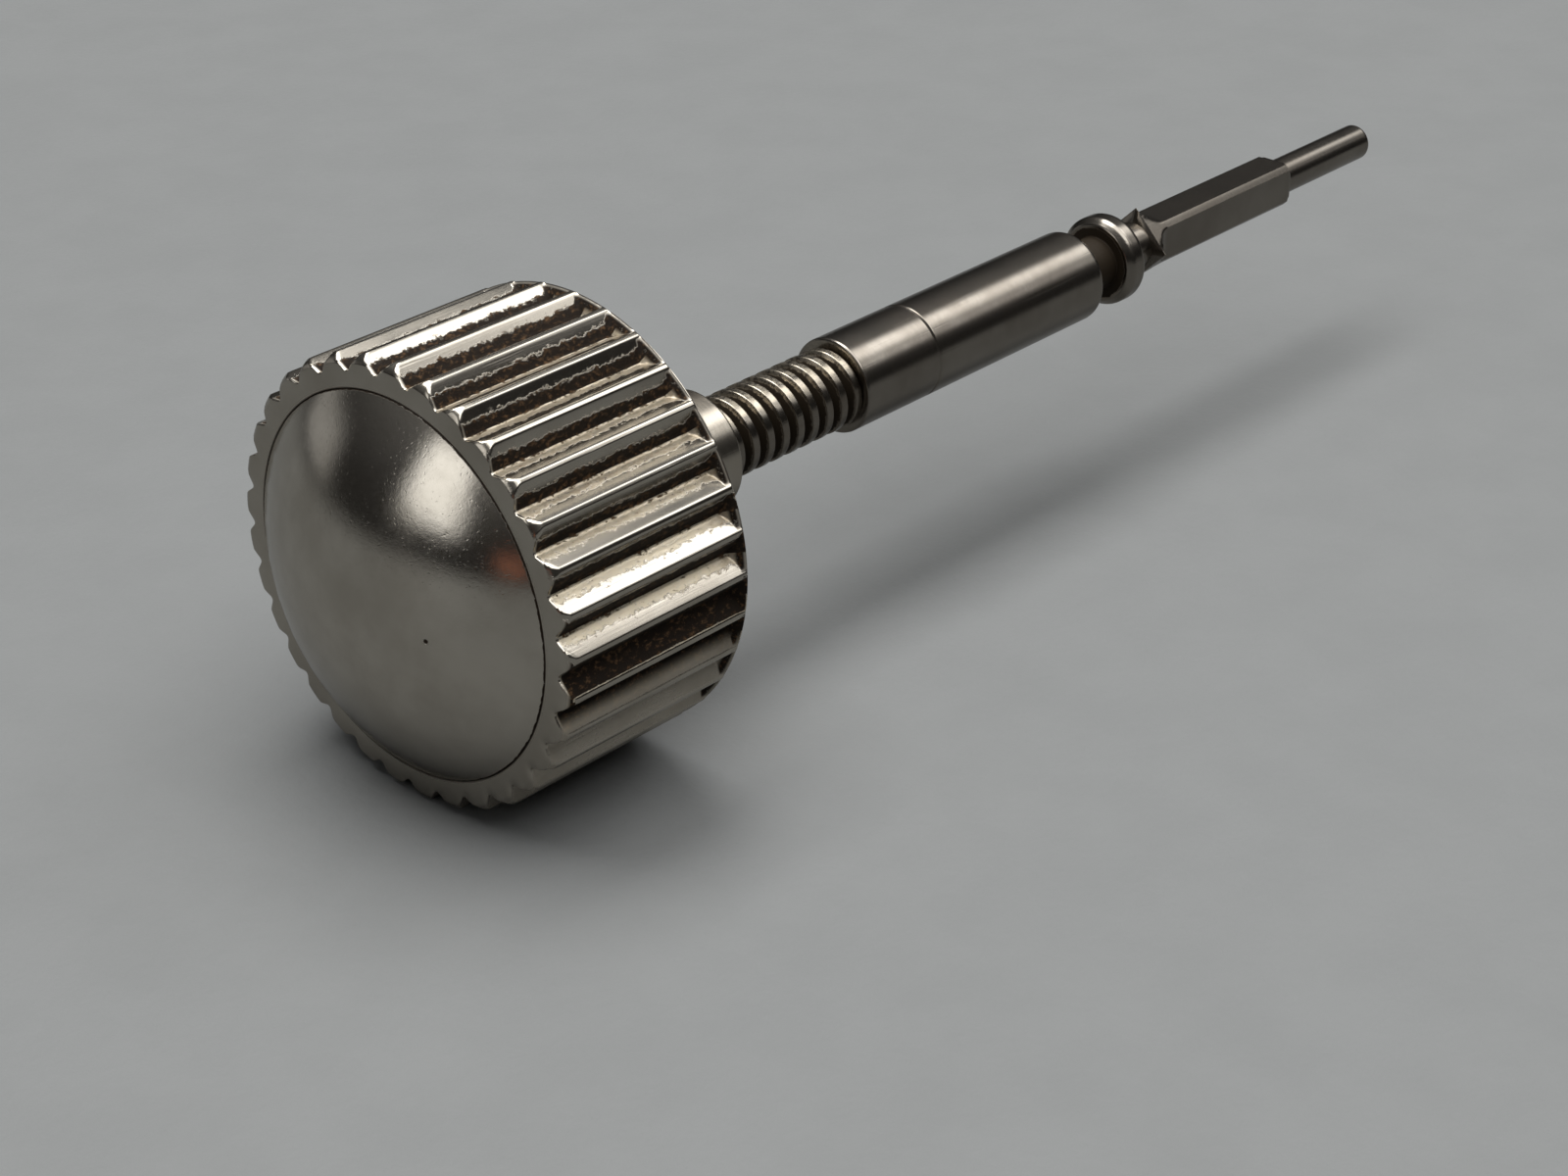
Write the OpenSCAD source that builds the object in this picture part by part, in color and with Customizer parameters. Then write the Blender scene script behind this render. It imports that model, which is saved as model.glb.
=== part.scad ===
// Screw-down winding crown with its stem, in millimetres.
// The stem runs along +X towards its pivot, and +Z is up.
// The origin is on the axis, in the plane of the head's rear rim.

/* [Head] */
// Diameter of the head over its ridges
head_dia = 4.6; // [4.4:0.05:5]
// Length of the head from its front rim to its rear rim
head_len = 2.35; // [2.3:0.05:2.7]
// Width of the front rim across the axis, from the dome's seat to the ridges
rim_width = 0.325; // [0.25:0.005:0.4]
// Width of the bevel on the front end of each ridge, across the axis
bevel_width = 0.08; // [0.05:0.01:0.11]
// Length of that bevel along the axis
bevel_len = 0.08; // [0.05:0.01:0.11]
// Thickness of the grip shell, from the core to the top of a ridge
shell_wall = 0.52; // [0.48:0.01:0.6]
// Chamfer on the outer edge of the rear rim
rim_chamfer = 0.03; // [0.02:0.005:0.06]

/* [Grip] */
// Number of flutes round the head
flute_count = 33; // [28:1:36]
// Depth of each flute
flute_depth = 0.165; // [0.14:0.005:0.19]
// Width left on the top of each ridge between two flutes
crest_width = 0.05; // [0.03:0.005:0.12]
// Width of the floor of each flute
floor_width = 0.04; // [0.02:0.005:0.08]
// Length over which each flute rises to the surface at its rear end
flute_runout = 0.11; // [0.08:0.01:0.16]
// Length of plain rim left behind the flutes
plain_rim = 0.02; // [0.01:0.005:0.04]
// Angle of the first flute about the axis, from +Y towards +Z
flute_turn = -88.7; // [-95:0.1:-80]

/* [Dome cap] */
// Height of the dome above the front rim
dome_height = 0.73; // [0.65:0.01:0.9]
// Depth that the rim of the dome is let into the head
dome_sink = 0.15; // [0.1:0.01:0.2]
// Wall of the spigot that is pressed into the core
spigot_wall = 0.15; // [0.1:0.01:0.2]
// Gap round the rim of the dome, seen as the seam
seam_gap = 0.02; // [0.01:0.005:0.03]
// Wall left over the middle of the dome
crown_wall = 0.31; // [0.27:0.01:0.33]
// Depth of the washer's seat in the roof of the hollow under the dome
washer_seat = 0.14; // [0.12:0.01:0.16]

/* [Threaded core] */
// Depth of the core's rear face inside the rear rim
core_inset = 0.05; // [0.02:0.01:0.08]
// Thickness of the wall between the drive chamber and the rear recess
partition_len = 0.3; // [0.28:0.01:0.34]
// Major diameter of the thread for the case tube
tube_thread_dia = 2.5; // [2.45:0.01:2.6]
// Pitch of the thread for the case tube
tube_thread_pitch = 0.25; // [0.22:0.01:0.26]
// Plain length between that thread and the gasket
thread_relief = 0.05; // [0.02:0.01:0.08]

/* [Clutch pipe] */
// Outer diameter of the pipe where it leaves the head
pipe_dia = 1.3; // [1.25:0.01:1.32]
// Step up to the polished journal that runs in the core and its seal
journal_step = 0.16; // [0.155:0.005:0.17]
// Length of pipe standing out behind the rear rim
pipe_reach = 1.7; // [1.5:0.05:2]
// Radial clearance of the journal in the core
journal_clear = 0.02; // [0.01:0.005:0.04]
// Step from the journal out to the flats of the hexagonal drive flange
flange_step = 0.14; // [0.11:0.01:0.16]
// Thickness of the drive flange
flange_len = 0.35; // [0.3:0.01:0.38]
// Clearance on each flat of the drive flange
hex_clear = 0.03; // [0.02:0.005:0.04]
// Depth of the spring's pocket in the pipe
pocket_len = 1.35; // [1.3:0.01:1.4]
// Length of the drive chamber in front of the flange at rest
flange_lead = 0.1; // [0.05:0.01:0.12]
// Spare depth of the tapped hole past the end of the stem
tap_spare = 0.15; // [0.1:0.01:0.2]
// Travel of the pipe past the length of the case tube's thread
travel_spare = 0.05; // [0:0.01:0.07]

/* [Spring] */
// Diameter of the spring wire
wire_dia = 0.15; // [0.12:0.01:0.16]
// Outer diameter of the spring
spring_dia = 0.92; // [0.88:0.01:0.94]
// Radial clearance of the spring in its pocket
spring_clear = 0.04; // [0.03:0.005:0.05]
// Number of turns, with the closed turn at each end
spring_turns = 6; // [5:0.5:6.5]
// Thickness of the washer that the spring bears on
thrust_len = 0.08; // [0.06:0.01:0.1]
// Gap between the washer and its seat round the edge
thrust_clear = 0.02; // [0.01:0.005:0.03]

/* [Seals] */
// Thickness of the ring that seals on the journal
seal_section = 0.22; // [0.2:0.01:0.23]
// Gap between that ring and what it seals on, as modelled
seal_gap = 0.01; // [0.005:0.001:0.015]
// Thickness of the washer that holds the ring in its gland
gland_len = 0.08; // [0.06:0.01:0.1]
// Overlap of that washer on the core round the gland
gland_lap = 0.035; // [0.02:0.005:0.045]
// Thickness of the gasket that the case tube presses on
gasket_len = 0.22; // [0.2:0.01:0.24]
// Radial clearance of that gasket round the journal
gasket_clear = 0.09; // [0.07:0.01:0.12]

/* [Stem thread] */
// Major diameter of the stem's thread
thread_dia = 0.9; // [0.86:0.01:0.94]
// Pitch of the stem's thread
thread_pitch = 0.225; // [0.2:0.005:0.25]
// Depth of the stem's thread
thread_depth = 0.12; // [0.08:0.01:0.13]
// Length of thread in sight behind the pipe
thread_len = 2.03; // [1.8:0.01:2.3]
// Length of thread screwed into the pipe
engaged_len = 1.45; // [1.3:0.01:1.5]

/* [Stem bearing] */
// Length of the bearing's front stretch, from the thread to a turned line
shoulder_len = 1.16; // [1:0.01:1.3]
// Diameter of the bearing that runs in the movement
bearing_dia = 1.06; // [1.05:0.01:1.1]
// Length of the bearing behind that line
bearing_len = 2.9; // [2.7:0.01:3.1]
// Width of the turned line
line_width = 0.04; // [0.03:0.005:0.06]
// Depth of that line below the bearing
line_depth = 0.02; // [0.01:0.005:0.04]
// Chamfer on the far end of the bearing and on both ends of the collar
edge_chamfer = 0.07; // [0.05:0.01:0.09]

/* [Lever groove and collar] */
// Width of the groove for the setting lever
groove_len = 0.47; // [0.4:0.01:0.55]
// Diameter of the groove's floor
groove_dia = 0.62; // [0.58:0.01:0.7]
// Step from the bearing down to the collar behind the groove
collar_step = 0.005; // [0.005:0.005:0.02]
// Length of the collar
collar_len = 0.32; // [0.28:0.01:0.4]
// Step from the flats of the square up to the neck in front of it
neck_step = 0.02; // [0.01:0.005:0.03]
// Length of the neck
neck_len = 0.42; // [0.35:0.01:0.5]

/* [Square and pivot] */
// Size of the clutch square, measured across its flats
square_flats = 0.52; // [0.5:0.01:0.56]
// Size of the square, measured across its flattened corners
square_corners = 0.65; // [0.62:0.01:0.68]
// Length of the square
square_len = 2.81; // [2.6:0.01:3]
// Radius that the cutter leaves where each flat begins
cutter_r = 0.3; // [0.2:0.01:0.4]
// Chamfer on the far end of the square
square_chamfer = 0.06; // [0.03:0.01:0.08]
// Diameter of the pivot
pivot_dia = 0.44; // [0.42:0.01:0.48]
// Length of the pivot
pivot_len = 1.83; // [1.7:0.01:1.95]
// Chamfer on the tip of the pivot
tip_chamfer = 0.05; // [0.03:0.01:0.08]

/* [Hidden] */

// Smoothness of turned surfaces
turn_fn = 96;
// Overlap that makes a cut run clear past a face
past = 0.01;
// Gap left at a press fit, so that the two walls stay apart
press_gap = 0.005;

// Diameters that follow the head, the pipe, the spring and the bearing
seat_dia = head_dia - 2 * rim_width;
core_dia = head_dia - 2 * shell_wall;
journal_dia = pipe_dia + 2 * journal_step;
journal_bore = journal_dia + 2 * journal_clear;
hex_flats = journal_dia + 2 * flange_step;
pocket_dia = spring_dia + 2 * spring_clear;
collar_dia = bearing_dia - 2 * collar_step;
neck_dia = square_flats + 2 * neck_step;

// Stations of the head, from its front to its rear rim at X = 0
front_x = -head_len;
seat_x = front_x + dome_sink;
apex_x = front_x - dome_height;
thrust_x = apex_x + crown_wall;
hollow_x = thrust_x + washer_seat;
core_x = -core_inset;

// The case tube's thread and the pipe's travel share what the walls and seals leave
roof_gap = 0.03;
fixed_len = roof_gap + travel_spare + flange_len + partition_len + gland_len + gasket_len + thread_relief;
tube_thread_len = (core_x - hollow_x - fixed_len) / 2;
pipe_travel = tube_thread_len + travel_spare;
thread_x = core_x - tube_thread_len;
recess_x = thread_x - thread_relief - gasket_len - gland_len;
chamber_x = recess_x - partition_len;

// Radius and centre of the dome's sphere
dome_rim_r = seat_dia / 2 - seam_gap;
dome_r = (pow(dome_rim_r, 2) + pow(dome_height, 2)) / (2 * dome_height);
dome_centre_x = apex_x + dome_r;

// The flange rests on the partition, and the spring pushes it there
flange_x = chamber_x - flange_len;
spigot_x = flange_x - flange_lead;
hex_corner_r = hex_flats / 2 / cos(30);
chamber_corner_r = (hex_flats / 2 + hex_clear) / cos(30);
hollow_r = chamber_corner_r + hex_clear;
spigot_dia = 2 * (hollow_r + spigot_wall);

// The journal ends just inside the rear rim, and the pipe runs on from there
journal_end_x = -0.02;
pocket_end_x = flange_x + pocket_len;
stem_x = pipe_reach - engaged_len;
tap_x = stem_x - tap_spare;
tap_chamfer = 0.04;

// The spring lies between its washer and the bottom of the pocket
spring_x = thrust_x + thrust_len;
spring_len = pocket_end_x - spring_x;
coil_r = (spring_dia - wire_dia) / 2;
closed_pitch = wire_dia * 1.15;
coil_steps = 12;
wire_sides = 8;

// The gland holds the ring, its washer closes it and the gasket lies on that
gland_r = journal_dia / 2 + 2 * seal_gap + seal_section;
gland_depth = seal_section + 2 * seal_gap;
gasket_x = recess_x + gland_len;
tube_thread_depth = tube_thread_pitch * 0.54;
tube_minor_r = tube_thread_dia / 2 - tube_thread_depth;

// Stations of the stem, from its shoulder to the tip of the pivot
shoulder_x = pipe_reach + thread_len;
bearing_x = shoulder_x + shoulder_len + line_width;
groove_x = bearing_x + bearing_len;
collar_x = groove_x + groove_len;
neck_x = collar_x + collar_len;
square_x = neck_x + neck_len;
pivot_x = square_x + square_len;
tip_x = pivot_x + pivot_len;

// Half widths of a flute at the surface and at its floor, and the stations of its rear end
flute_half = (PI * head_dia / flute_count - crest_width) / 2;
floor_half = floor_width / 2;
flute_floor_r = head_dia / 2 - flute_depth;
runout_x = -plain_rim - flute_runout;

// The thread in sight is an off-centre rod turned along its length
thread_fn = 16;
steps_per_turn = 8;
thread_overlap = 0.1;

// A solid turned about X from a profile of [radius, station] points
module turned(profile) {
    rotate([0, 90, 0]) rotate_extrude($fn = turn_fn) polygon(profile);
}

// A round bar along X between two stations
module bar(from, to, dia) {
    translate([from, 0, 0]) rotate([0, 90, 0]) cylinder(h = to - from, d = dia, $fn = turn_fn);
}

// A round bar with a chamfer at each end
module chamfered_bar(from, to, dia, chamfer) {
    turned([[0, from], [dia / 2 - chamfer, from], [dia / 2, from + chamfer],
            [dia / 2, to - chamfer], [dia / 2 - chamfer, to], [0, to]]);
}

// A flat ring about X between two stations
module ring(from, to, outer, inner) {
    difference() {
        bar(from, to, outer);
        bar(from - past, to + past, inner);
    }
}

// A hexagonal bar along X with two corners on the Z axis
module hex_bar(from, to, corner_r) {
    translate([from, 0, 0]) rotate([0, 90, 0]) cylinder(h = to - from, r = corner_r, $fn = 6);
}

// One flute's cutter, with its floor on the +Y side and its end sloping up to the surface
module flute_cut() {
    lift = 0.5;
    slope = (flute_half - floor_half) / flute_depth;
    rise = flute_runout / flute_depth;
    intersection() {
        translate([front_x - past, 0, 0]) rotate([90, 0, 90])
        linear_extrude(height = head_len)
        polygon([[flute_floor_r, -floor_half], [flute_floor_r + lift, -floor_half - lift * slope],
                 [flute_floor_r + lift, floor_half + lift * slope], [flute_floor_r, floor_half]]);
        linear_extrude(height = head_dia, center = true)
        polygon([[front_x - 2 * past, flute_floor_r - past], [runout_x - past * rise, flute_floor_r - past],
                 [runout_x + lift * rise, flute_floor_r + lift], [front_x - 2 * past, flute_floor_r + lift]]);
    }
}

// The fluted outer ring that the fingers hold, with its flat front rim
module grip_shell() {
    outer_r = head_dia / 2;
    seat_r = seat_dia / 2;
    bore_r = core_dia / 2;
    color("silver")
    difference() {
        turned([[seat_r, front_x], [outer_r - bevel_width, front_x], [outer_r, front_x + bevel_len],
                [outer_r, -rim_chamfer], [outer_r - rim_chamfer, 0], [bore_r, 0], [bore_r, seat_x],
                [seat_r, seat_x]]);
        for (i = [0 : flute_count - 1]) rotate([flute_turn + i * 360 / flute_count, 0, 0]) flute_cut();
    }
}

// The polished dome that closes the front, hollow over the spring
module dome_cap() {
    color("gainsboro")
    difference() {
        union() {
            intersection() {
                translate([dome_centre_x, 0, 0]) sphere(r = dome_r, $fn = turn_fn);
                bar(apex_x - past, front_x, 2 * dome_rim_r);
            }
            bar(front_x, seat_x, 2 * dome_rim_r);
            bar(seat_x, spigot_x, spigot_dia - 2 * press_gap);
        }
        bar(hollow_x, spigot_x + past, 2 * hollow_r);
        bar(thrust_x, hollow_x + past, pocket_dia);
    }
}

// The inner core: drive chamber in front, threaded recess behind
module threaded_core() {
    thread_r = tube_thread_dia / 2;
    ridges = floor(tube_thread_len / tube_thread_pitch + past);
    color("darkgray")
    difference() {
        bar(seat_x, core_x, core_dia - 2 * press_gap);
        bar(seat_x - past, spigot_x, spigot_dia);
        hex_bar(spigot_x - past, chamber_x, chamber_corner_r);
        bar(chamber_x - past, recess_x + past, journal_bore);
        bar(recess_x - gland_depth, recess_x + past, 2 * gland_r);
        bar(recess_x, thread_x, tube_thread_dia);
        bar(thread_x - past, core_x + past, 2 * tube_minor_r);
        for (i = [0 : ridges - 1])
            translate([core_x - (i + 0.5) * tube_thread_pitch, 0, 0])
            turned([[tube_minor_r - past, -tube_thread_pitch / 2], [thread_r, 0],
                    [tube_minor_r - past, tube_thread_pitch / 2]]);
    }
}

// The small washer that the front end of the spring turns on
module thrust_washer() {
    color("dimgray") ring(thrust_x, spring_x, pocket_dia - 2 * thrust_clear, spring_dia / 2);
}

// Station of the wire's centre after t turns, closed at both ends
function coil_x(t) =
    let (free = spring_len - wire_dia - 2 * closed_pitch,
         open_turns = spring_turns - 2,
         start = spring_x + wire_dia / 2)
    t < 1 ? start + t * closed_pitch
    : t > spring_turns - 1 ? start + closed_pitch + free + (t - spring_turns + 1) * closed_pitch
    : start + closed_pitch + (t - 1) * free / open_turns;

// A ring of points round the wire, square to the circle that it follows
function wire_ring(t) =
    [for (s = [0 : wire_sides - 1])
        let (a = 360 * t, b = 360 * s / wire_sides, r = coil_r + wire_dia / 2 * cos(b))
        [coil_x(t) + wire_dia / 2 * sin(b), r * cos(a), r * sin(a)]];

// The helical spring that pushes the pipe out, as one unbroken tube
module clutch_spring() {
    last = round(spring_turns * coil_steps);
    points = [for (i = [0 : last]) each wire_ring(i / coil_steps)];
    sides = [for (i = [0 : last - 1], s = [0 : wire_sides - 1])
        let (a = i * wire_sides + s, b = i * wire_sides + (s + 1) % wire_sides)
        each [[a, b, a + wire_sides], [b, b + wire_sides, a + wire_sides]]];
    first_end = [for (s = [1 : wire_sides - 2]) [0, s + 1, s]];
    last_end = [for (s = [1 : wire_sides - 2])
        [last * wire_sides, last * wire_sides + s, last * wire_sides + s + 1]];
    gaps = [for (i = [0 : last - coil_steps])
        coil_x((i + coil_steps) / coil_steps) - coil_x(i / coil_steps) - wire_dia];
    echo(least_gap_between_turns = min(gaps));
    color("slategray") polyhedron(points = points, faces = concat(sides, first_end, last_end));
}

// The round ring that seals the pipe in the core
module pipe_seal() {
    ring_r = journal_dia / 2 + seal_gap + seal_section / 2;
    color("black")
    translate([recess_x - gland_depth / 2, 0, 0])
    rotate([0, 90, 0])
    rotate_extrude($fn = turn_fn)
    translate([ring_r, 0]) circle(d = seal_section, $fn = 32);
}

// The thin washer that closes the gland
module gland_washer() {
    color("gray") ring(recess_x, gasket_x, 2 * (gland_r + gland_lap), journal_bore);
}

// The flat gasket that the end of the case tube presses on
module tube_gasket() {
    gasket_bore = journal_dia + 2 * gasket_clear;
    color("black") ring(gasket_x, gasket_x + gasket_len, tube_thread_dia - 2 * press_gap, gasket_bore);
}

// The sliding pipe: drive flange, spring pocket, journal and tapped end
module clutch_pipe() {
    tap_dia = thread_dia + 2 * press_gap;
    color("lightgray")
    difference() {
        union() {
            hex_bar(flange_x, chamber_x, hex_corner_r);
            bar(flange_x, journal_end_x, journal_dia);
            chamfered_bar(journal_end_x - tap_chamfer, pipe_reach, pipe_dia, tap_chamfer);
        }
        bar(flange_x - past, pocket_end_x, pocket_dia);
        bar(tap_x, pipe_reach + past, tap_dia);
    }
}

// One flat of the clutch square, as the cutter takes it away above the axis
module flat_cut() {
    floor_z = square_flats / 2;
    translate([square_x + cutter_r, -cutter_r, floor_z])
    cube([square_len - cutter_r + past, 2 * cutter_r, cutter_r]);
    translate([square_x + cutter_r, 0, floor_z + cutter_r])
    rotate([90, 0, 0])
    cylinder(h = 2 * cutter_r, r = cutter_r, center = true, $fn = turn_fn);
}

// The clutch square: four flats with planed corners between them, chamfered at its far end
module clutch_square() {
    blank_r = square_corners / 2 / cos(22.5);
    difference() {
        intersection() {
            translate([square_x, 0, 0]) rotate([0, 90, 0]) rotate([0, 0, 22.5])
            cylinder(h = square_len, r = blank_r, $fn = 8);
            turned([[0, square_x], [blank_r + past, square_x],
                    [blank_r + past, pivot_x - square_chamfer - past],
                    [blank_r - square_chamfer, pivot_x], [0, pivot_x]]);
        }
        for (side = [0 : 3]) rotate([90 * side, 0, 0]) flat_cut();
    }
}

// The stem turned from one rod: thread, bearing, groove, collar, square and pivot
module winding_stem() {
    turns = (thread_len + thread_overlap) / thread_pitch;
    line_x = shoulder_x + shoulder_len;
    color("rosybrown")
    union() {
        chamfered_bar(stem_x, pipe_reach - thread_overlap, thread_dia, edge_chamfer);
        translate([pipe_reach - thread_overlap, 0, 0])
        rotate([0, 90, 0])
        linear_extrude(height = thread_len + thread_overlap, twist = -360 * turns,
                       slices = round(turns * steps_per_turn))
        translate([thread_depth / 2, 0])
        circle(d = thread_dia - thread_depth, $fn = thread_fn);
        turned([[0, shoulder_x], [bearing_dia / 2, shoulder_x], [bearing_dia / 2, line_x],
                [bearing_dia / 2 - line_depth, line_x + line_width / 2], [bearing_dia / 2, bearing_x],
                [bearing_dia / 2, groove_x - edge_chamfer], [bearing_dia / 2 - edge_chamfer, groove_x],
                [0, groove_x]]);
        bar(groove_x, collar_x, groove_dia);
        chamfered_bar(collar_x, neck_x, collar_dia, edge_chamfer);
        bar(neck_x, square_x, neck_dia);
        clutch_square();
        chamfered_bar(pivot_x - tip_chamfer, tip_x, pivot_dia, tip_chamfer);
    }
}

grip_shell();
dome_cap();
threaded_core();
thrust_washer();
clutch_spring();
pipe_seal();
gland_washer();
tube_gasket();
clutch_pipe();
winding_stem();
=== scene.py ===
"""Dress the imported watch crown: the fluted head, its sliding clutch pipe and the winding stem."""
import logging
import math
from dataclasses import dataclass
from enum import Enum
from functools import reduce
from typing import Any, Callable

import bmesh
import bpy
from mathutils import Matrix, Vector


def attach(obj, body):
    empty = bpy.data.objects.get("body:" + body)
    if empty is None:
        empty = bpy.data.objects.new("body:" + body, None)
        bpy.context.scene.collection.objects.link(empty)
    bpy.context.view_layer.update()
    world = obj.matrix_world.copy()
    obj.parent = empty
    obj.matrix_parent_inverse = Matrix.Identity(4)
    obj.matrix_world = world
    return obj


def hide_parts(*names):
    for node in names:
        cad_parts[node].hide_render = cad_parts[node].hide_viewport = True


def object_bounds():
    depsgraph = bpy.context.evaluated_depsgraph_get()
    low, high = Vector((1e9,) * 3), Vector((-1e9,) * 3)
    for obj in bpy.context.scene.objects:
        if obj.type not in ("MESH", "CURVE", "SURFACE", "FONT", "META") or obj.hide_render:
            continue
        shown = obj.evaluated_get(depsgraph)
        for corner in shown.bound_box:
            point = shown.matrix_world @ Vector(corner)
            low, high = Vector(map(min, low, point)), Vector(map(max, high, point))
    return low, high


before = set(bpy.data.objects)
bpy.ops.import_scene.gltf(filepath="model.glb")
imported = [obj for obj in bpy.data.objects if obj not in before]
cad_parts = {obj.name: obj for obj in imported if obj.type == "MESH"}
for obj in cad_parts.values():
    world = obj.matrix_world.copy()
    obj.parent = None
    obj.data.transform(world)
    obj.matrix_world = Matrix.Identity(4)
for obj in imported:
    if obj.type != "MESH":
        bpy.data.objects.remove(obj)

BOX_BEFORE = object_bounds()
MM = 0.001
DEGREES = 180 / math.pi
LOG = logging.getLogger("watch crown")

# Shapes are modelled in millimetres; points closer than this are one, and so are radii with this share apart
SAME_POINT = 0.0004
SAME_SHARE = 2e-6

Colour = tuple[float, float, float]
Point = tuple[float, float, float]
Socket = bpy.types.NodeSocket
RadiusAt = Callable[[float], float]
Radius = float | RadiusAt
# Pairs of a station and a radius, or of a station and what the radius lacks there
Rows = tuple[tuple[float, float], ...]
# Where a step begins and ends and, unless they are 0 and 1, its values before and after
Ramp = tuple[float, ...]


class Body(Enum):
    """The two bodies that pieces ride on."""

    HEAD = "head"
    PIPE = "pipe"


class Slot(Enum):
    """The record's material slots."""

    GRIP = "grip_plate"
    DOME = "dome_polish"
    CORE = "core_plate"
    WASHER = "washer_steel"
    SPRING = "spring_steel"
    RUBBER = "seal_rubber"
    PIPE = "pipe_steel"
    STEM = "stem_steel"


def clear_selection() -> None:
    """Leave edit mode and deselect every object."""
    if bpy.context.mode != "OBJECT":
        bpy.ops.object.mode_set(mode="OBJECT")
    bpy.ops.object.select_all(action="DESELECT")


def take(piece: bpy.types.Object) -> None:
    """Select one piece alone and make it the active one.

    Args:
        piece: the piece to select.
    """
    clear_selection()
    bpy.context.view_layer.objects.active = piece
    piece.select_set(True)


def soft_min(a: float, b: float, blend: float) -> float:
    """Give the lesser of two values, rounded where they are less than blend apart."""
    share = max(blend - abs(a - b), 0.0) / blend
    return min(a, b) - share * share * blend / 4


def soft_max(a: float, b: float, blend: float) -> float:
    """Give the greater of two values, rounded in the same way."""
    return -soft_min(-a, -b, blend)


def part_way(here: tuple[float, float], there: tuple[float, float], length: float) -> tuple[float, float]:
    """Give the place that lies a length from here on the way to another place."""
    share = length / math.dist(here, there)
    return here[0] + (there[0] - here[0]) * share, here[1] + (there[1] - here[1]) * share


def eased(corners: list[Point], steps: int = 3) -> list[tuple[float, float]]:
    """Round the corners of a turned profile and put a line close to each rounding.

    Args:
        corners: station, radius and rounding of each corner, in millimetres.
        steps: number of short faces round each corner.

    Returns:
        The stations and radii to turn, in order.
    """
    most_share, line_share = 0.3, 1.5
    points = [corners[0][:2]]
    for before, corner, after in zip(corners, corners[1:], corners[2:]):
        before, here, after, reach = before[:2], corner[:2], after[:2], corner[2]
        if reach <= 0:
            points.append(here)
            continue
        reach = min(reach, most_share * math.dist(before, here), most_share * math.dist(here, after))
        start, end = part_way(here, before, reach), part_way(here, after, reach)
        points.append(part_way(here, before, reach * line_share))
        for step in range(steps + 1):
            t = step / steps
            points.append(tuple((1 - t) ** 2 * s + 2 * t * (1 - t) * h + t * t * e
                                for s, h, e in zip(start, here, end)))
        points.append(part_way(here, after, reach * line_share))
    points.append(corners[-1][:2])
    return points


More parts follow.
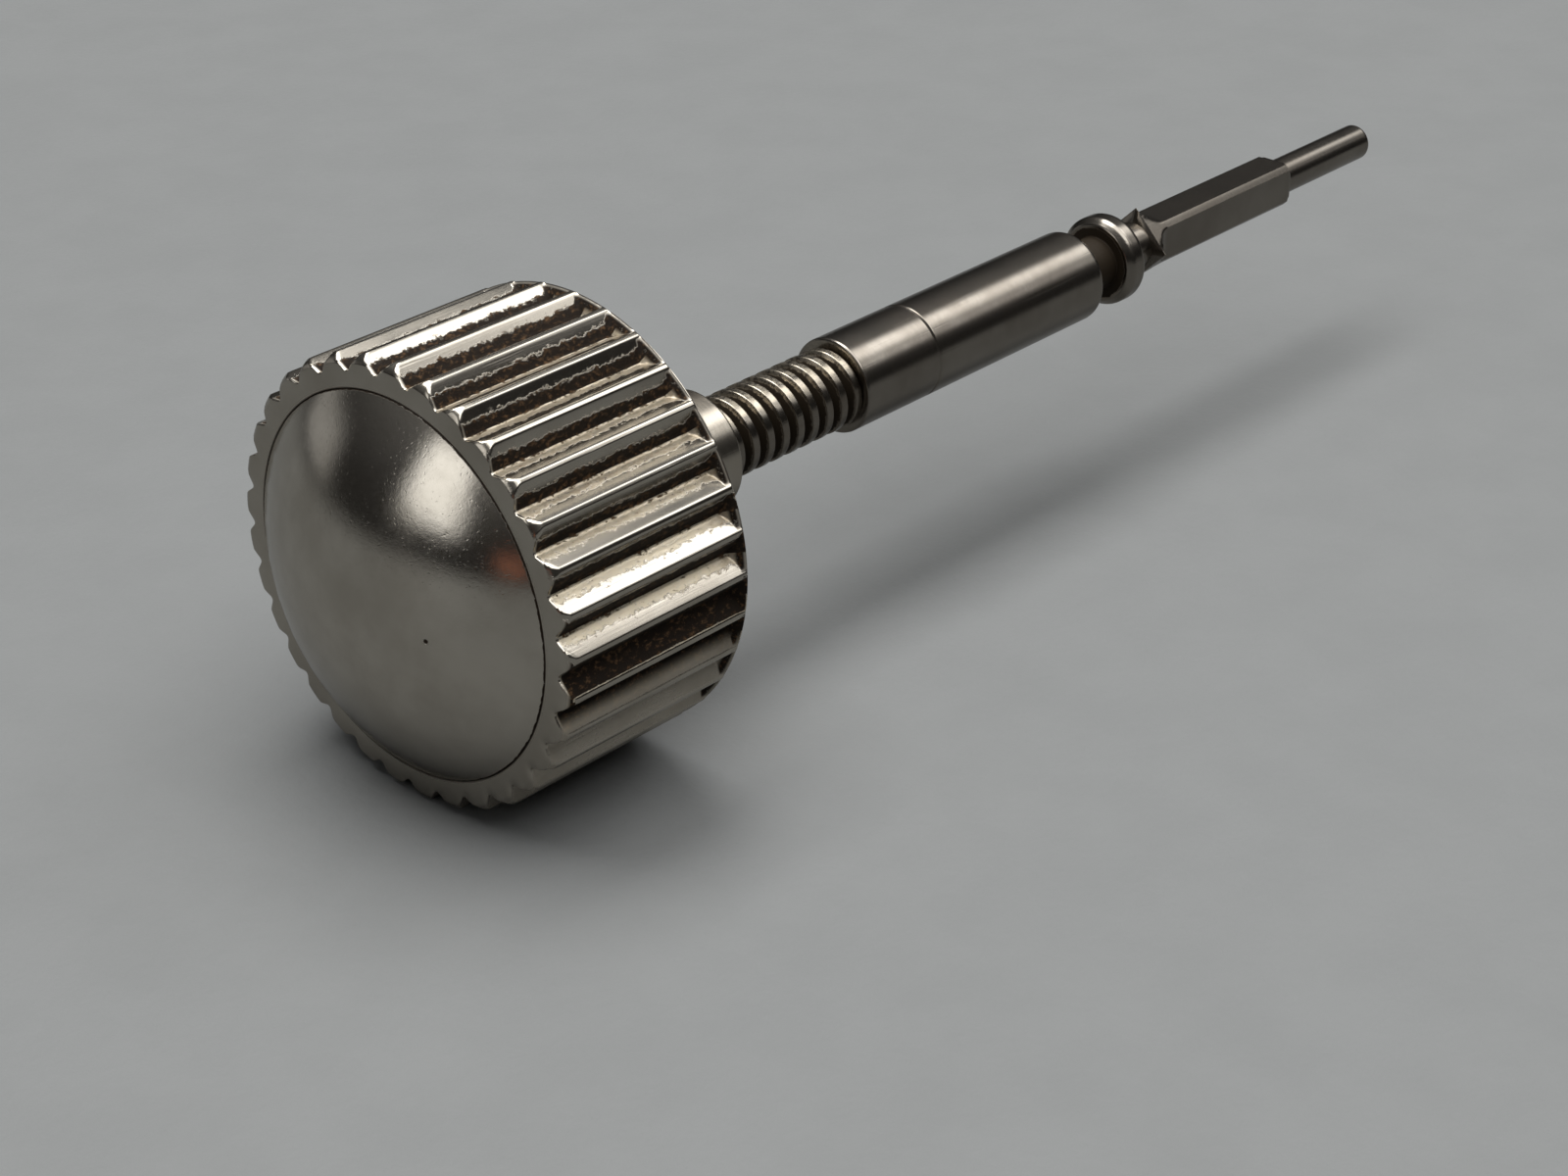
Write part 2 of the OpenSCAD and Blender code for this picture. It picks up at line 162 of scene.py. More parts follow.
class Turning:
    """A mesh drawn out row by row along the axis, in millimetres."""

    def __init__(self, name: str, x: float) -> None:
        """Take the new primitive as the first row and enter edit mode.

        Args:
            name: name of the new piece.
            x: station of the first row.
        """
        self.piece = bpy.context.object
        self.piece.name = self.piece.data.name = name
        self.x = x
        bpy.ops.object.transform_apply(location=True, rotation=True, scale=True)
        bpy.ops.object.mode_set(mode="EDIT")
        bpy.ops.mesh.select_mode(type="VERT")
        bpy.ops.mesh.select_all(action="SELECT")

    @classmethod
    def ring(cls, name: str, x: float, radius: float, sides: int = 96) -> "Turning":
        """Start from a ring.

        Args:
            name: name of the new piece.
            x: station of the ring.
            radius: its radius.
            sides: number of points round it.

        Returns:
            The turning, with its first ring drawn.
        """
        clear_selection()
        bpy.ops.mesh.primitive_circle_add(vertices=sides, radius=radius, location=(x, 0, 0),
                                          rotation=(0, math.pi / 2, 0))
        return cls(name, x)

    @classmethod
    def line(cls, name: str, places: list[Point]) -> "Turning":
        """Start from an open line.

        Args:
            name: name of the new piece.
            places: the points of the line.

        Returns:
            The turning, with its line drawn.
        """
        clear_selection()
        bpy.ops.mesh.primitive_circle_add(vertices=3, radius=0.01, location=places[0])
        work = cls(name, places[0][0])
        bpy.ops.mesh.merge(type="CENTER")
        for here, there in zip(places, places[1:]):
            way = tuple(b - a for a, b in zip(here, there))
            bpy.ops.mesh.extrude_vertices_move(TRANSFORM_OT_translate={"value": way})
        bpy.ops.mesh.select_all(action="SELECT")
        return work

    @staticmethod
    def pick(verts: list[bmesh.types.BMVert]) -> None:
        """Select these points alone.

        Args:
            verts: the points to select.
        """
        bpy.ops.mesh.select_all(action="DESELECT")
        for vert in verts:
            vert.select = True

    def fit(self, radius: Radius) -> None:
        """Bring the selected row to its radius.

        Args:
            radius: one radius, or a rule that gives the radius at each angle in degrees.
        """
        mesh = bmesh.from_edit_mesh(self.piece.data)
        row = [v for v in mesh.verts if v.select]
        groups: dict[float, list[bmesh.types.BMVert]] = {}
        for vert in row:
            angle = math.degrees(math.atan2(vert.co.z, vert.co.y)) % 360
            wanted = radius(angle) if callable(radius) else radius
            groups.setdefault(round(wanted / math.hypot(vert.co.y, vert.co.z), 6), []).append(vert)
        for factor, verts in groups.items():
            if abs(factor - 1) < SAME_SHARE:
                continue
            if len(groups) > 1:
                self.pick(verts)
            bpy.ops.transform.resize(value=(1, factor, factor), center_override=(self.x, 0, 0))
        if len(groups) > 1:
            self.pick(row)
            mesh.select_flush(True)

    def extrude(self, x: float) -> None:
        """Extrude the last row to a new station."""
        bpy.ops.mesh.extrude_region_move(TRANSFORM_OT_translate={"value": (x - self.x, 0, 0)})
        self.x = x

    def draw(self, x: float, radius: Radius) -> None:
        """Extrude the last row to a new station and bring it to its radius."""
        self.extrude(x)
        self.fit(radius)

    def follow(self, points: list[tuple[float, float]]) -> None:
        """Draw a row at each station and radius in turn."""
        for x, radius in points:
            self.draw(x, radius)

    def point(self, x: float) -> None:
        """Extrude the last ring to a station and draw it together on the axis."""
        self.extrude(x)
        bpy.ops.mesh.merge(type="CENTER")

    def open_ends(self) -> None:
        """Select the open edges of the mesh."""
        bpy.ops.mesh.select_mode(type="EDGE")
        bpy.ops.mesh.select_all(action="DESELECT")
        bpy.ops.mesh.select_non_manifold(extend=False, use_wire=False, use_boundary=True,
                                         use_multi_face=False, use_non_contiguous=False, use_verts=False)

    def fill(self) -> None:
        """Close each open end with a flat face."""
        self.open_ends()
        bpy.ops.mesh.fill_holes(sides=0)

    def bridge(self) -> None:
        """Join the first row to the last one."""
        self.open_ends()
        bpy.ops.mesh.bridge_edge_loops()

    def weld(self) -> None:
        """Merge the points that lie on each other and turn every face outwards."""
        bpy.ops.mesh.select_mode(type="VERT")
        bpy.ops.mesh.select_all(action="SELECT")
        bpy.ops.mesh.remove_doubles(threshold=SAME_POINT)
        bpy.ops.mesh.normals_make_consistent(inside=False)

    def done(self) -> bpy.types.Object:
        """Leave edit mode with the faces outwards, still in millimetres.

        Returns:
            The finished piece.
        """
        self.weld()
        bpy.ops.object.mode_set(mode="OBJECT")
        return self.piece


def unite(target: bpy.types.Object, others: list[bpy.types.Object]) -> None:
    """Join closed pieces into one skin.

    Args:
        target: the piece that keeps its name.
        others: the pieces that go into it.
    """
    for other in others:
        take(target)
        union = target.modifiers.new("union", "BOOLEAN")
        union.operation, union.solver, union.object = "UNION", "EXACT", other
        bpy.ops.object.modifier_apply(modifier=union.name)
        take(other)
        bpy.ops.object.delete()


def set_down(piece: bpy.types.Object, smooth_angle: float) -> None:
    """Smooth a finished piece and bring it from millimetres to metres.

    Args:
        piece: the finished piece.
        smooth_angle: the angle in degrees past which an edge stays sharp.
    """
    take(piece)
    bpy.ops.object.shade_smooth_by_angle(angle=math.radians(smooth_angle))
    bpy.ops.transform.resize(value=(MM, MM, MM), center_override=(0, 0, 0))
    bpy.ops.object.transform_apply(location=True, rotation=True, scale=True)


# Shader graphs


class Graph:
    """Short words for adding shader nodes and joining them."""

    def __init__(self, tree: bpy.types.NodeTree) -> None:
        """Take a node tree and empty it."""
        self.tree = tree
        tree.nodes.clear()

    def put(self, socket: Socket, value: Any) -> None:
        """Join an input to another socket, or set its value.

        Args:
            socket: the input to fill.
            value: an output socket, or a plain value.
        """
        if isinstance(value, Socket):
            self.tree.links.new(value, socket)
        elif socket.type == "RGBA" and len(value) == 3:
            socket.default_value = (*value, 1.0)
        else:
            socket.default_value = value

    def add(self, kind: str, inputs: dict[str | int, Any] | None = None, **settings: Any) -> bpy.types.Node:
        """Add a node.

        Args:
            kind: its type, without the ShaderNode in front.
            inputs: what goes into its inputs, by name or number.
            settings: its own settings.

        Returns:
            The new node.
        """
        node = self.tree.nodes.new("ShaderNode" + kind)
        for key, value in settings.items():
            setattr(node, key, value)
        for key, value in (inputs or {}).items():
            self.put(node.inputs[key], value)
        return node

    def group(self, tree: bpy.types.NodeTree, **inputs: Any) -> Any:
        """Place a shared group with its own values and give its outputs."""
        return self.add("Group", inputs, node_tree=tree).outputs

    def math(self, operation: str, a: Any, b: Any = 0.0, clamp: bool = False) -> Socket:
        """Give the result of a Math node, with clamp kept between 0 and 1."""
        return self.add("Math", {0: a, 1: b}, operation=operation, use_clamp=clamp).outputs[0]

    def plus(self, *values: Any) -> Socket:
        """Add values up, from the first to the last."""
        return reduce(lambda a, b: self.math("ADD", a, b), values)

    def minus(self, a: Any, b: Any) -> Socket:
        """Take the second value from the first one."""
        return self.math("SUBTRACT", a, b)

    def times(self, *values: Any) -> Socket:
        """Multiply values, from the first to the last."""
        return reduce(lambda a, b: self.math("MULTIPLY", a, b), values)

    def over(self, a: Any, b: Any) -> Socket:
        """Divide the first value by the second one."""
        return self.math("DIVIDE", a, b)

    def most(self, *values: Any) -> Socket:
        """Give the greatest of the values."""
        return reduce(lambda a, b: self.math("MAXIMUM", a, b), values)

    def step(self, value: Any, low: Any, high: Any, start: Any = 0.0, end: Any = 1.0) -> Socket:
        """Go smoothly from start to end as a value goes from low to high."""
        limits = {"Value": value, "From Min": low, "From Max": high, "To Min": start, "To Max": end}
        return self.add("MapRange", limits, interpolation_type="SMOOTHSTEP").outputs["Result"]

    def blend(self, share: Any, a: Any, b: Any, how: str = "MIX") -> Socket:
        """Mix two colours, with a share of the second one."""
        return self.add("Mix", {0: share, 6: a, 7: b}, data_type="RGBA", blend_type=how).outputs[2]

    def noise(self, vector: Any, scale: Any, detail: float = 3.0, rough: float = 0.55) -> Socket:
        """Give a noise value, with finer layers of a given number and strength."""
        given = {"Vector": vector, "Scale": scale, "Detail": detail, "Roughness": rough}
        return self.add("TexNoise", given).outputs["Fac"]

    def place(self) -> tuple[Socket, tuple[Socket, ...]]:
        """Give the object coordinates in millimetres, whole and split in three.

        Returns:
            The vector, and its three values.
        """
        given = {0: self.add("TexCoord").outputs["Object"], "Scale": 1 / MM}
        scaled = self.add("VectorMath", given, operation="SCALE").outputs[0]
        return scaled, tuple(self.add("SeparateXYZ", {0: scaled}).outputs)

    def stretched(self, xyz: tuple[Socket, ...], along: Any, around: Any, seed: Any = 0.0) -> Socket:
        """Give coordinates that are scaled apart along the axis and across it.

        Args:
            xyz: the split coordinates.
            along: scale along the axis.
            around: scale across it.
            seed: a shift that tells one pattern from another.

        Returns:
            The stretched coordinates.
        """
        x, y, z = xyz
        return self.add("CombineXYZ", {0: self.plus(self.times(x, along), seed), 1: self.times(y, around),
                                       2: self.times(z, around)}).outputs[0]

    def shade(self, height: Any, distance: float, inputs: dict[str, Any]) -> None:
        """Add the bump, the shader and the output that end a material.

        Args:
            height: the bump's height.
            distance: what a height of 1 measures, in metres.
            inputs: what goes into the shader's other inputs.
        """
        bump = self.add("Bump", {"Height": height, "Distance": distance, "Strength": 1.0}).outputs[0]
        shader = self.add("BsdfPrincipled", inputs | {"Normal": bump})
        self.add("OutputMaterial", {"Surface": shader.outputs[0]})


def new_material(name: str) -> tuple[bpy.types.Material, Graph]:
    """Start a material and its graph.

    Args:
        name: name of the material.

    Returns:
        The material and the graph of its nodes.
    """
    material = bpy.data.materials.new(name)
    material.use_nodes = True
    return material, Graph(material.node_tree)


def new_group(name: str, inputs: dict[str, float], outputs: tuple[str, ...]) -> tuple[Graph, Any, Any]:
    """Start a node group of plain values.

    Args:
        name: its name.
        inputs: the inputs and their first values.
        outputs: the outputs.

    Returns:
        The graph, the sockets that give its inputs and the sockets that take its outputs.
    """
    tree = bpy.data.node_groups.new(name, "ShaderNodeTree")
    for title, value in inputs.items():
        socket = tree.interface.new_socket(name=title, in_out="INPUT", socket_type="NodeSocketFloat")
        socket.default_value = value
    for title in outputs:
        tree.interface.new_socket(name=title, in_out="OUTPUT", socket_type="NodeSocketFloat")
    graph = Graph(tree)
    return graph, tree.nodes.new("NodeGroupInput").outputs, tree.nodes.new("NodeGroupOutput").inputs


class Effects:
    """The node groups that several finishes share, built once."""

    # Each set of scratches is turned by angles and squeezed to a width, and shows where its noise is high
    SCRATCHES = (((0.3, 0.5, 1.1), 26.0), ((1.4, -0.4, 0.2), 34.0), ((-0.7, 0.9, 2.3), 22.0))
    THIN: Ramp = (0.69, 0.78)

    def __init__(self) -> None:
        """Build every group."""
        self.axis = self._axis_places()
        self.lines = self._fine_lines()
        # Masks for packed dirt and for painted shade in the deep places
        self.grime = self._packed_grime_and_shade()
        self.marks = self._handling_marks()

    def _axis_places(self) -> bpy.types.NodeTree:
        """Build the group that gives station, radius and angle round the axis.

        Returns:
            The group's node tree.
        """
        graph, _, out = new_group("Axis places", {}, ("Along", "Radius", "Angle"))
        x, y, z = graph.place()[1]
        angle = graph.times(graph.math("ARCTAN2", z, y), DEGREES)
        graph.put(out["Along"], x)
        graph.put(out["Radius"], graph.math("SQRT", graph.plus(graph.times(y, y), graph.times(z, z))))
        graph.put(out["Angle"], graph.math("FLOORED_MODULO", angle, 360.0))
        return graph.tree

    def _fine_lines(self) -> bpy.types.NodeTree:
        """Build the group that draws fine tool lines along the axis or round it.

        Returns:
            The group's node tree.
        """
        graph, given, out = new_group("Fine tool lines", {"Along": 60.0, "Around": 0.8, "Seed": 0.0},
                                      ("Lines", "Bands"))
        where = graph.stretched(graph.place()[1], given["Along"], given["Around"], given["Seed"])
        graph.put(out["Lines"], graph.noise(where, 1.0, detail=4.0, rough=0.65))
        graph.put(out["Bands"], graph.noise(where, 0.17, detail=2.0, rough=0.5))
        return graph.tree

    def _packed_grime_and_shade(self) -> bpy.types.NodeTree:
        """Build the group that masks the deep places with a ragged edge, for packed dirt and for painted
        shade.

        Returns:
            The group's node tree.
        """
        graph, given, out = new_group("Packed grime and shade", {"Depth": 0.0, "Reach": 0.6, "Ragged": 0.5,
                                                       "Seed": 0.0}, ("Grime and shade", "Stain", "Crust"))
        edge_width, stain_width, fine_share = 0.1, 0.3, 2.0
        xyz = graph.place()[1]
        coarse = graph.noise(graph.stretched(xyz, 3.0, 5.0, given["Seed"]), 1.0, detail=5.0, rough=0.62)
        fine = graph.noise(graph.stretched(xyz, 13.0, 20.0, given["Seed"]), 1.0, detail=6.0, rough=0.72)
        shift = graph.plus(graph.minus(coarse, 0.5), graph.times(graph.minus(fine, 0.5), fine_share))
        level = graph.plus(given["Depth"], graph.times(shift, given["Ragged"]))
        edge = graph.plus(given["Reach"], edge_width)
        graph.put(out["Grime and shade"], graph.step(level, given["Reach"], edge))
        graph.put(out["Stain"], graph.step(level, graph.minus(given["Reach"], stain_width), edge))
        graph.put(out["Crust"], fine)
        return graph.tree

    def _handling_marks(self) -> bpy.types.NodeTree:
        """Build the group that gives smudges and fine scratches in three directions.

        Returns:
            The group's node tree.
        """
        graph, given, out = new_group("Handling marks", {"Seed": 0.0}, ("Smudge", "Scratch"))
        shift = graph.add("CombineXYZ", {0: given["Seed"], 1: given["Seed"]}).outputs[0]
        moved = graph.add("VectorMath", {0: graph.place()[0], 1: shift}, operation="ADD").outputs[0]
        scratches = []
        for turn, width in self.SCRATCHES:
            laid = graph.add("Mapping", {"Vector": moved, "Rotation": turn, "Scale": (0.7, width, width)},
                             vector_type="POINT").outputs[0]
            scratches.append(graph.step(graph.noise(laid, 1.0, detail=1.0, rough=0.4), *self.THIN))
        graph.put(out["Smudge"], graph.noise(moved, 1.1, detail=4.0, rough=0.6))
        graph.put(out["Scratch"], graph.most(*scratches))
        return graph.tree


@dataclass
class Surface:
    """What a finish gives the shader, with each layer of dirt, wear or painted shade laid over the last."""

    graph: Graph
    colour: Any
    rough: Any
    height: Any
    metal: Any = 1.0

    def lay(self, mask: Any, colour: Any, rougher: float = 0.0, duller: float = 0.0) -> None:
        """Lay one layer over the surface.

        Args:
            mask: where the layer lies.
            colour: its colour.
            rougher: what it adds to the roughness.
            duller: the share of the metallic value that it takes away.
        """
        graph = self.graph
        self.colour = graph.blend(mask, self.colour, colour)
        if rougher:
            self.rough = graph.math("ADD", self.rough, graph.times(mask, rougher), clamp=True)
        if duller:
            self.metal = graph.times(self.metal, graph.minus(1.0, graph.times(mask, duller)))


@dataclass(frozen=True)
class Finish:
    """A worn metal finish with tool lines, smudges and scratches."""

    name: str
    colour: Colour
    shade: Colour
    roughness: float
    spread: float = 0.08
    along: float = 60.0
    around: float = 0.8
    line_depth: float = 0.0006
    scratch_depth: float = 0.0004
    seed: float = 0.0
    specular: float = 0.15
    smudged: Ramp = (0.35, 0.7)
    banded: Ramp = (0.4, 0.75, 0.0, 0.15)

    def build(self, effects: Effects) -> bpy.types.Material:
        """Make the material.

        Args:
            effects: the shared node groups.

        Returns:
            The finished material.
        """
        material, graph = new_material(self.name)
        lines = graph.group(effects.lines, Along=self.along, Around=self.around, Seed=self.seed)
        marks = graph.group(effects.marks, Seed=self.seed)
        colour = graph.blend(graph.step(marks["Smudge"], *self.smudged), self.colour, self.shade)
        colour = graph.blend(graph.step(lines["Bands"], *self.banded), colour, self.shade)
        rough = graph.plus(self.roughness, graph.times(graph.minus(marks["Smudge"], 0.5), self.spread * 2),
                           graph.times(graph.minus(lines["Lines"], 0.5), self.spread))
        height = graph.plus(graph.times(lines["Lines"], self.line_depth),
                            graph.times(marks["Scratch"], -self.scratch_depth))
        surface = Surface(graph, colour, rough, height)
        self.dress(surface, effects)
        graph.shade(surface.height, MM, {"Base Color": surface.colour, "Roughness": surface.rough,
                                         "Metallic": surface.metal, "Specular IOR Level": self.specular})
        return material

    def dress(self, surface: Surface, effects: Effects) -> None:
        """Add what this finish alone has; a plain one adds nothing."""


@dataclass(frozen=True)
class GripFinish(Finish):
    """Bright plate over the flutes, with packed grime and brown stains, and painted shade on the downward
    flanks and the lower teeth.
    """

    outer_r: float = 2.3
    flute_depth: float = 0.165
    first_ridge: float = 4.03
    pitch: float = 360 / 33
    # Near black, for the packed dirt and for the painted shade on the downward flanks and the lower teeth
    dirt_and_shade: Colour = (0.012, 0.008, 0.005)
    stain: Colour = (0.11, 0.062, 0.03)
    film: Colour = (0.62, 0.54, 0.40)
    tan: Colour = (0.27, 0.21, 0.14)
    dirt_and_shade_ragged: float = 0.36
    film_ragged: float = 0.50
    film_seed: float = 9.0
    crust_height: float = 0.012
    film_height: float = 0.25
    dirt_and_shade_dull: float = 0.95
    # Where dirt and painted shade may lie, by share of the pitch, station, height, radius, and depth as a
    # share of the flute's
    upper_flank: Ramp = (0.46, 0.50)
    behind_front: Ramp = (-2.335, -2.30)
    outside_seat: Ramp = (2.06, 2.10)
    clear_of_rear: Ramp = (-0.004, -0.018)
    bare_bottom: Ramp = (-0.80, -0.58, 0.15, 1.0)
    near_rear: Ramp = (-0.16, -0.07, 0.0, 0.25)
    darker_below: Ramp = (0.10, -0.25)
    under_ridge: Ramp = (0.02, 0.14)
    flute_end: Ramp = (-0.10, -0.07)
    below_rim: Ramp = (2.29, 2.26)
    seam: Ramp = (1.992, 1.974, 0.0, 0.75)
    shaded_reach: Ramp = (1.1, 0.65, 0.46, 0.16)
    film_reach: Ramp = (0.0, 1.0, 0.78, 0.54)
    speck_depth: Ramp = (0.15, 0.6, 0.0, 0.75)
    tan_above: Ramp = (0.55, 1.25, 0.0, 0.75)
    tan_rear: Ramp = (-0.55, -0.1, 0.0, 0.8)
    # How the crust's noise breaks it up
    film_crust: Ramp = (0.32, 0.55, 0.4, 0.9)
    speck_crust: Ramp = (0.60, 0.68)
    tan_crust: Ramp = (0.40, 0.56, 0.35, 1.0)
    end_crust: Ramp = (0.3, 0.42)
    stain_crust: Ramp = (0.50, 0.70)

    def dress(self, surface: Surface, effects: Effects) -> None:
        """Pack the grime into the flutes, with painted shade on their downward flanks and on the lower teeth,
        a film round it and stains in it.

        Args:
            surface: the clean metal, which takes the layers.
            effects: the shared groups.
        """
        graph = surface.graph
        axis = graph.group(effects.axis)
        along, radius, height = axis["Along"], axis["Radius"], graph.place()[1][2]
        depth = graph.over(graph.minus(self.outer_r, radius), self.flute_depth)
        turns = graph.over(graph.minus(axis["Angle"], self.first_ridge), self.pitch)
        upward = graph.step(graph.math("FLOORED_MODULO", turns, 1.0), *self.upper_flank)
        clear_of_rear = graph.step(along, *self.clear_of_rear)
        fluted = graph.times(graph.step(along, *self.behind_front), graph.step(radius, *self.outside_seat),
                             graph.step(height, *self.bare_bottom), clear_of_rear)
        # Painted shade: the teeth that face down are darkened up both flanks.
        shaded_beneath = graph.times(graph.step(height, *self.darker_below), graph.step(depth, *self.under_ridge))
        deep = graph.plus(depth, graph.step(along, *self.near_rear), shaded_beneath)

        # Painted shade: the dark cover reaches further up the downward flanks, and further still on the lower
        # teeth.
        reach = graph.step(upward, 0.0, 1.0, graph.step(height, *self.shaded_reach), 1.0)
        packed_and_shaded = graph.group(effects.grime, Depth=deep, Reach=reach, Ragged=self.dirt_and_shade_ragged, Seed=self.seed)
        dusty = graph.group(effects.grime, Depth=deep, Reach=graph.step(upward, *self.film_reach),
                            Ragged=self.film_ragged, Seed=self.seed + self.film_seed)
        film = graph.times(dusty["Grime and shade"], fluted, graph.step(packed_and_shaded["Crust"], *self.film_crust))
        speck = graph.times(graph.step(dusty["Crust"], *self.speck_crust), fluted,
                            graph.step(depth, *self.speck_depth))
        flute_end = graph.times(graph.step(along, *self.flute_end), graph.step(radius, *self.below_rim),
                                clear_of_rear, graph.step(packed_and_shaded["Crust"], *self.end_crust))
        cover = graph.most(graph.times(packed_and_shaded["Grime and shade"], fluted), graph.step(radius, *self.seam), flute_end)

        tanned = graph.most(graph.step(height, *self.tan_above), graph.step(along, *self.tan_rear))
        tanned = graph.times(tanned, graph.step(dusty["Crust"], *self.tan_crust))
        stained_and_shaded = graph.blend(graph.step(packed_and_shaded["Crust"], *self.stain_crust), self.dirt_and_shade, self.stain)
        surface.lay(film, graph.blend(tanned, self.film, self.tan), rougher=0.2, duller=0.4)
        surface.lay(speck, self.stain)
        surface.lay(cover, stained_and_shaded, rougher=0.5)
        dull = graph.times(graph.most(cover, speck), self.dirt_and_shade_dull)
        surface.metal = graph.times(surface.metal, graph.minus(1.0, dull))
        crust = graph.times(graph.most(cover, graph.times(film, self.film_height)),
                            graph.times(packed_and_shaded["Crust"], self.crust_height))
        surface.height = graph.plus(surface.height, crust)


@dataclass(frozen=True)
class DomeFinish(Finish):
    """Polished plate with a small pit and grime in the seam round it."""

    rim_r: float = 1.962
    seam_width: float = 0.035
    dirt_and_shade: Colour = (0.02, 0.013, 0.008)
    pit_place: Point = (-2.909, -0.995, 0.035)
    pit_edge: Ramp = (0.018, 0.030, 1.0, 0.0)
    pit_depth: float = 0.008

    def dress(self, surface: Surface, effects: Effects) -> None:
        """Add the pit and the seam.

        Args:
            surface: the clean metal, which takes the layers.
            effects: the shared groups.
        """
        graph = surface.graph
        away = graph.add("VectorMath", {0: graph.place()[0], 1: self.pit_place}, operation="DISTANCE")
        pit = graph.step(away.outputs["Value"], *self.pit_edge)
        seam = graph.step(graph.group(effects.axis)["Radius"], self.rim_r - self.seam_width, self.rim_r)
        grime = graph.group(effects.grime, Depth=seam, Reach=0.75, Ragged=0.5, Seed=7.0)
        surface.lay(graph.most(grime["Grime and shade"], pit), self.dirt_and_shade, rougher=0.5, duller=0.9)
        surface.height = graph.minus(surface.height, graph.times(pit, self.pit_depth))


@dataclass(frozen=True)
class StemFinish(Finish):
    """Bright hardened steel with brown in its corners, dirt in its thread, painted shade under the thread and
    in the lever groove, and a cream crust that paints a highlight on the upper crests.
    """

    thread_from: float = 1.6
    thread_to: float = 3.73
    thread_r: float = 0.45
    thread_depth: float = 0.12
    # Near black, for the dirt in the thread and the painted shade under it and in the lever groove
    dirt_and_shade: Colour = (0.02, 0.014, 0.008)
    brown: Colour = (0.12, 0.08, 0.045)
    # Cream crust, which on the upper crests also paints a highlight
    cream_and_highlight: Colour = (0.52, 0.46, 0.36)
    groove_shade: float = 0.75
    brown_share: float = 0.4
    least_depth: float = 0.02
    # Where the lever groove lies, by radius and station; it and the collar's face towards the head are filled
    # with painted shade
    groove_deep: Ramp = (0.48, 0.36)
    groove_from: Ramp = (7.8, 7.85)
    groove_to: Ramp = (8.34, 8.29)
    # Painted shade under the thread, and cream crust on its upper crests that paints a highlight there, by
    # height
    darker_below: Ramp = (0.32, 0.20, 0.0, 0.16)
    highlight_above: Ramp = (0.24, 0.36)
    cream_crust: Ramp = (0.62, 0.42, 0.1, 0.8)

    def dress(self, surface: Surface, effects: Effects) -> None:
        """Add the dirt in the thread, the painted shade under it and in the lever groove, the brown in the
        groove's corners and the cream on the upper crests that paints a highlight.

        Args:
            surface: the clean metal, which takes the layers.
            effects: the shared groups.
        """
        graph = surface.graph
        axis = graph.group(effects.axis)
        along, radius, height = axis["Along"], axis["Radius"], graph.place()[1][2]
        threaded = graph.times(graph.step(along, self.thread_from, self.thread_from + 0.05),
                               graph.step(along, self.thread_to + 0.01, self.thread_to - 0.01))
        depth = graph.over(graph.minus(self.thread_r, radius), self.thread_depth)
        # Painted shade: the underside of the thread gets a deeper dark fill.
        thread = graph.times(graph.plus(depth, graph.step(height, *self.darker_below)), threaded)
        # Painted shade: the lever groove and the collar's face towards the head are filled dark.
        groove = graph.times(graph.step(radius, *self.groove_deep), graph.step(along, *self.groove_from),
                             graph.step(along, *self.groove_to), self.groove_shade)
        deep = graph.most(thread, groove)
        grime = graph.group(effects.grime, Depth=deep, Reach=0.30, Ragged=0.30, Seed=3.0)
        present = graph.math("GREATER_THAN", deep, self.least_depth)
        # Cream crust, kept to the upper crests, where it paints a highlight.
        cream_and_highlight = graph.times(threaded, graph.step(grime["Crust"], *self.cream_crust),
                            graph.step(height, *self.highlight_above))
        surface.lay(cream_and_highlight, self.cream_and_highlight, rougher=0.12)
        surface.lay(graph.times(grime["Stain"], present, self.brown_share), self.brown)
        surface.lay(graph.times(grime["Grime and shade"], present), self.dirt_and_shade, rougher=0.4, duller=0.85)


@dataclass(frozen=True)
class Rubber:
    """Moulded black rubber with a dusty bloom."""

    name: str = "black seal rubber"
    colour: Colour = (0.022, 0.022, 0.024)
    bloom: Colour = (0.06, 0.058, 0.055)
    dusty: Ramp = (0.45, 0.75)
    rough: Ramp = (0.0, 1.0, 0.55, 0.8)
    grain_depth: float = 0.000002

    def build(self) -> bpy.types.Material:
        """Make the material.

        Returns:
            The finished material.
        """
        material, graph = new_material(self.name)
        place = graph.place()[0]
        dust = graph.step(graph.noise(place, 6.0, detail=5.0, rough=0.65), *self.dusty)
        graph.shade(graph.noise(place, 60.0, detail=2.0, rough=0.5), self.grain_depth,
                    {"Base Color": graph.blend(dust, self.colour, self.bloom),
                     "Roughness": graph.step(dust, *self.rough)})
        return material


# Pieces


def hand_over(piece: bpy.types.Object, material: bpy.types.Material, body: Body, node: str,
              smooth_angle: float = 38.0) -> None:
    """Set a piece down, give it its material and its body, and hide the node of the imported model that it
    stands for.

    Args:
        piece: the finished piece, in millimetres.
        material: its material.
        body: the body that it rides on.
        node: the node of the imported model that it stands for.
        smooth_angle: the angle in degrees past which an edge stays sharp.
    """
    set_down(piece, smooth_angle)
    piece.data.materials.clear()
    piece.data.materials.append(material)
    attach(piece, body.value)
    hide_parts(node)
    LOG.info("%s stands for %s: %d faces", piece.name, node, len(piece.data.polygons))


def keep_node(node: str, material: bpy.types.Material) -> None:
    """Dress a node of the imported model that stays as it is.

    Args:
        node: the node's name.
        material: its material.
    """
    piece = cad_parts[node]
    if not piece.material_slots:
        piece.data.materials.append(material)
    for place in piece.material_slots:
        place.material = material
    LOG.info("%s keeps its shape and takes %s", node, material.name)


